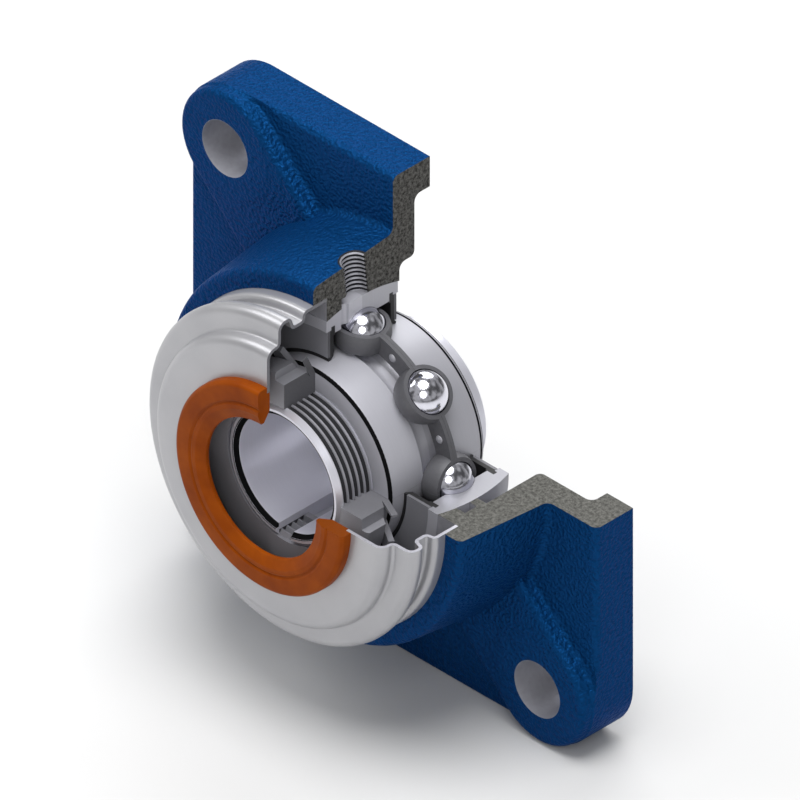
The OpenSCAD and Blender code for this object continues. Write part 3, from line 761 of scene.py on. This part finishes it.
def smooth_copy(node, sharp_angle=35):
    """A welded copy of a frame piece, smooth up to its sharp edges, in that piece's place."""
    mesh = frame["nodes"][node].data.copy()
    piece = bpy.data.objects.new(node + "_piece", mesh)
    bpy.context.scene.collection.objects.link(piece)
    shape = bmesh.new()
    shape.from_mesh(mesh)
    bmesh.ops.remove_doubles(shape, verts=shape.verts, dist=WELD_DISTANCE * MM)
    shape.to_mesh(mesh)
    shape.free()
    if "custom_normal" in mesh.attributes:
        mesh.attributes.remove(mesh.attributes["custom_normal"])
    mesh.shade_smooth()
    mesh.set_sharp_from_angle(angle=radians(sharp_angle))
    mesh.materials.clear()
    return piece


slot_of = {part["node"]: part["material_slot"] for part in frame["record"]["subparts"]}
bodies = frame["record"]["behaviour"]["bodies"]
body_of = {node: body for body, nodes in bodies.items() for node in nodes}


def place(piece, node):
    """Gives a piece its finish, body and slot, and lets it stand for its frame piece."""
    if not piece.data.materials:
        piece.data.materials.append(finishes[slot_of[node]])
    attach(piece, body_of[node])
    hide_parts(node)


def add_balls():
    tree = ball_tree()
    for i in range(BALLS):
        node = f"ball_{i + 1}"
        piece = grown(node + "_piece", tree, Ball_radius=BALL_R * MM, Pitch_radius=PITCH_R * MM,
                      Turn=i * 2 * pi / BALLS, Fineness=6, Finish=finishes[slot_of[node]])
        place(piece, node)


def add_rivets():
    box = [Vector(corner) for corner in frame["nodes"]["cage_rivets"].bound_box]
    reach = max(corner.x for corner in box) - RIVET_HEAD_R * MM
    circle = reach / cos(pi / BALLS)
    piece = grown("cage_rivets_piece", rivet_tree(), Circle_radius=circle, First_turn=pi / BALLS,
                  Head_radius=RIVET_HEAD_R * MM, Head_height=RIVET_HEAD_H * MM,
                  Shank_radius=RIVET_SHANK_R * MM, Grip=CAGE_SHEET * MM, Rivets=BALLS,
                  Finish=finishes[slot_of["cage_rivets"]])
    place(piece, "cage_rivets")


def add_turned_pieces():
    """The cover and its seal reach round three quarters; the sleeve is open at its slit, below."""
    tree = turned_tree()
    for node, section, first, last, half_slit in (
            ("end_cover", cover_section(), pi / 2, 2 * pi, 0.0),
            ("cover_seal", cover_seal_section(), pi / 2, 2 * pi, 0.0),
            ("adapter_sleeve", sleeve_section(), -pi, pi, SLIT_W / 2)):
        piece = grown(node + "_piece", tree, section, First_turn=first, Last_turn=last,
                      Half_slit=half_slit * MM, Corners=len(section), Steps=TURN_STEPS,
                      Finish=finishes[slot_of[node]])
        place(piece, node)


made = {"cage_rivets", "end_cover", "cover_seal", "adapter_sleeve"}
made |= {f"ball_{i + 1}" for i in range(BALLS)}
for node in frame["nodes"]:
    if node not in made:
        place(smooth_copy(node), node)
add_balls()
add_rivets()
add_turned_pieces()


# Floor, light and camera


def floor():
    """A pale plane under the flange, the same all over but for a faint cloud."""
    size = 3.0
    mesh = bpy.data.meshes.new("floor")
    corners = [(-size, -size), (size, -size), (size, size), (-size, size)]
    level = cad_box[0].z
    mesh.from_pydata([(x, y, level) for x, y in corners], [], [(0, 1, 2, 3)])
    ground = bpy.data.objects.new("floor", mesh)
    bpy.context.scene.collection.objects.link(ground)
    material, n = new_material("pale_floor")
    n.finish(Base_Color=n.mix(n.noise(8), grey(0.65, 1.0), grey(0.67, 1.0)), Roughness=0.9)
    n.surface.inputs["Specular IOR Level"].default_value = 0.0
    mesh.materials.append(material)


def lamp(name, way, distance, size, power):
    """A round soft light in the given direction from the object, aimed at it."""
    data = bpy.data.lights.new(name, "AREA")
    data.shape = "DISK"
    data.size = size
    data.energy = power
    light = bpy.data.objects.new(name, data)
    way = Vector(way).normalized()
    light.location = way * distance
    light.rotation_euler = (-way).to_track_quat("-Z", "Y").to_euler()
    bpy.context.scene.collection.objects.link(light)


def soft_sky(dark, bright):
    """An even sky with broad pale and dim parts for the polished balls to mirror."""
    world = bpy.data.worlds.new("soft_sky")
    world.use_nodes = True
    nodes = world.node_tree.nodes
    links = world.node_tree.links
    way = nodes.new("ShaderNodeTexCoord")
    cloud = nodes.new("ShaderNodeTexNoise")
    cloud.inputs["Scale"].default_value = 2.4
    cloud.inputs["Detail"].default_value = 1.0
    spread = nodes.new("ShaderNodeMapRange")
    spread.interpolation_type = "SMOOTHSTEP"
    for key, value in (("From Min", 0.4), ("From Max", 0.6), ("To Min", dark), ("To Max", bright)):
        spread.inputs[key].default_value = value
    links.new(way.outputs["Generated"], cloud.inputs["Vector"])
    links.new(cloud.outputs[0], spread.inputs["Value"])
    links.new(spread.outputs[0], nodes["Background"].inputs["Strength"])
    nodes["Background"].inputs["Color"].default_value = (1, 1, 1, 1)
    bpy.context.scene.world = world


# Width of the view and distance of the eye, in metres, and the point in the view's middle
VIEW_WIDTH = 0.15038
EYE_DISTANCE = 0.6
VIEW_MIDDLE = (0, 10.05, 1.85)


def camera():
    """An isometric view from the front right, without perspective."""
    data = bpy.data.cameras.new("camera")
    data.type = "ORTHO"
    data.ortho_scale = VIEW_WIDTH
    eye = bpy.data.objects.new("camera", data)
    back = Vector((1, -1, 1)).normalized()
    eye.location = Vector(VIEW_MIDDLE) * MM + back * EYE_DISTANCE
    eye.rotation_euler = (-back).to_track_quat("-Z", "Y").to_euler()
    bpy.context.scene.collection.objects.link(eye)
    bpy.context.scene.camera = eye


floor()
soft_sky(dark=0.08, bright=0.42)
lamp("back_light", (-0.45, 0.60, 0.65), distance=1.0, size=0.8, power=5)
lamp("top_light", (0.12, -0.12, 1), distance=1.0, size=0.7, power=9.5)
lamp("left_light", (-0.66, -0.31, 0.67), distance=1.0, size=0.5, power=2.6)
lamp("front_light", (1, -1, 1), distance=1.3, size=0.7, power=4.4)
camera()
bpy.context.scene.view_settings.view_transform = "Standard"
